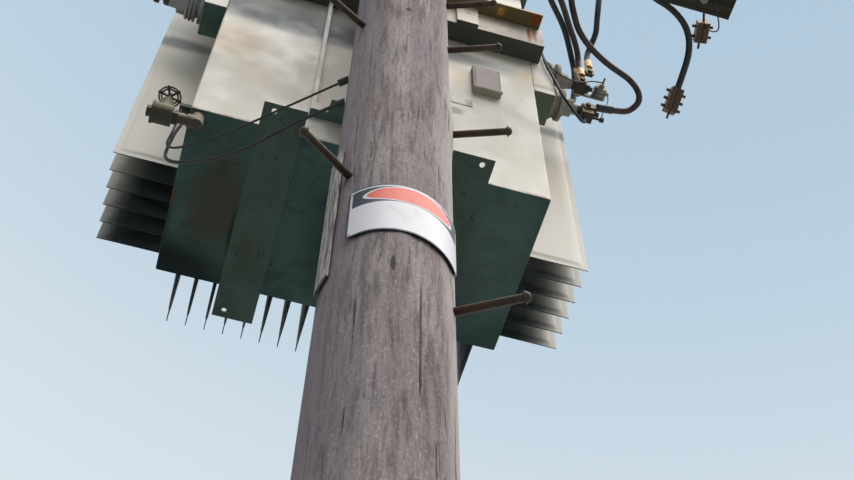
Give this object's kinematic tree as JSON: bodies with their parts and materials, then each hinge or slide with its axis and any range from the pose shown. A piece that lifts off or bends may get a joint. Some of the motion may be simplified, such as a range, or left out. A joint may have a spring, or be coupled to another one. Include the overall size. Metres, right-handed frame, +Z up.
{
  "type": "pole mounted transformer",
  "caption": "Three-phase distribution transformer with cooling fins, hung on a timber pole with steps, a drain valve and a crossarm.",
  "frame": {"origin": "centre of the flat base of the pole, at ground level", "axes": "+Z up the pole, +X along the wide front wall of the tank, +Y from the pole to the tank"},
  "size_m": [2.3639, 1.3543, 10.4],
  "materials": {
    "timber": "weathered, grey, checked",
    "arm_timber": "dark, weathered",
    "tank_paint": "satin light grey, stained",
    "fin_paint": "satin light grey",
    "under_paint": "satin grey-green, stained",
    "frame_steel": "satin light grey with rust",
    "rusty_steel": "rough, rusted",
    "galvanised": "dull galvanised",
    "porcelain": "glazed grey",
    "brown_porcelain": "glazed brown",
    "bronze": "dull, painted over",
    "wheel_iron": "dark red paint, worn",
    "sign_white": "gloss white with coloured band",
    "plate": "dull",
    "cable_black": "matt black sheath",
    "capping": "pale weathered",
    "lug_metal": "tarnished"
  },
  "bodies": {
    "root": {"arm_clamp": "lug_metal", "arm_insulators": "brown_porcelain", "arrester_lead": "cable_black", "cable_capping": "capping", "cable_cleat": "galvanised", "clamp_lead": "cable_black", "crossarm": "arm_timber", "drain_pipe": "tank_paint", "earth_fittings": "galvanised", "earth_lead_thick": "cable_black", "earth_lead_thin": "cable_black", "fins_back": "fin_paint", "fins_left": "fin_paint", "fins_right": "fin_paint", "front_plates": "plate", "hanger_channel": "frame_steel", "hv_bushings": "brown_porcelain", "hv_pocket": "tank_paint", "line_clamp": "lug_metal", "line_tail": "cable_black", "lower_bracket": "under_paint", "lv_bushings": "porcelain", "lv_lugs": "lug_metal", "lv_pocket": "tank_paint", "lv_tail_1": "cable_black", "lv_tail_2": "cable_black", "lv_tail_3": "cable_black", "lv_tail_4": "cable_black", "lv_terminals": "bronze", "neutral_bond": "cable_black", "pole": "timber", "pole_saddle": "frame_steel", "rod_lead": "cable_black", "sign_plate": "sign_white", "skids": "under_paint", "step_rods_left": "galvanised", "step_rods_right": "galvanised", "support_angle": "rusty_steel", "surge_arrester": "porcelain", "tank_body": "tank_paint", "tank_lid": "tank_paint", "through_bolts": "galvanised", "valve_body": "bronze", "valve_plug": "bronze", "wall_ribs": "tank_paint"},
    "valve_handwheel": {"handwheel": "wheel_iron"}
  },
  "joints": [
    {"name": "handwheel_turn", "type": "hinge", "parent": "root", "child": "valve_handwheel", "pos_m": [-0.6495, 0.31, 5.49], "axis": [0, 0, 1], "continuous": true}
  ]
}
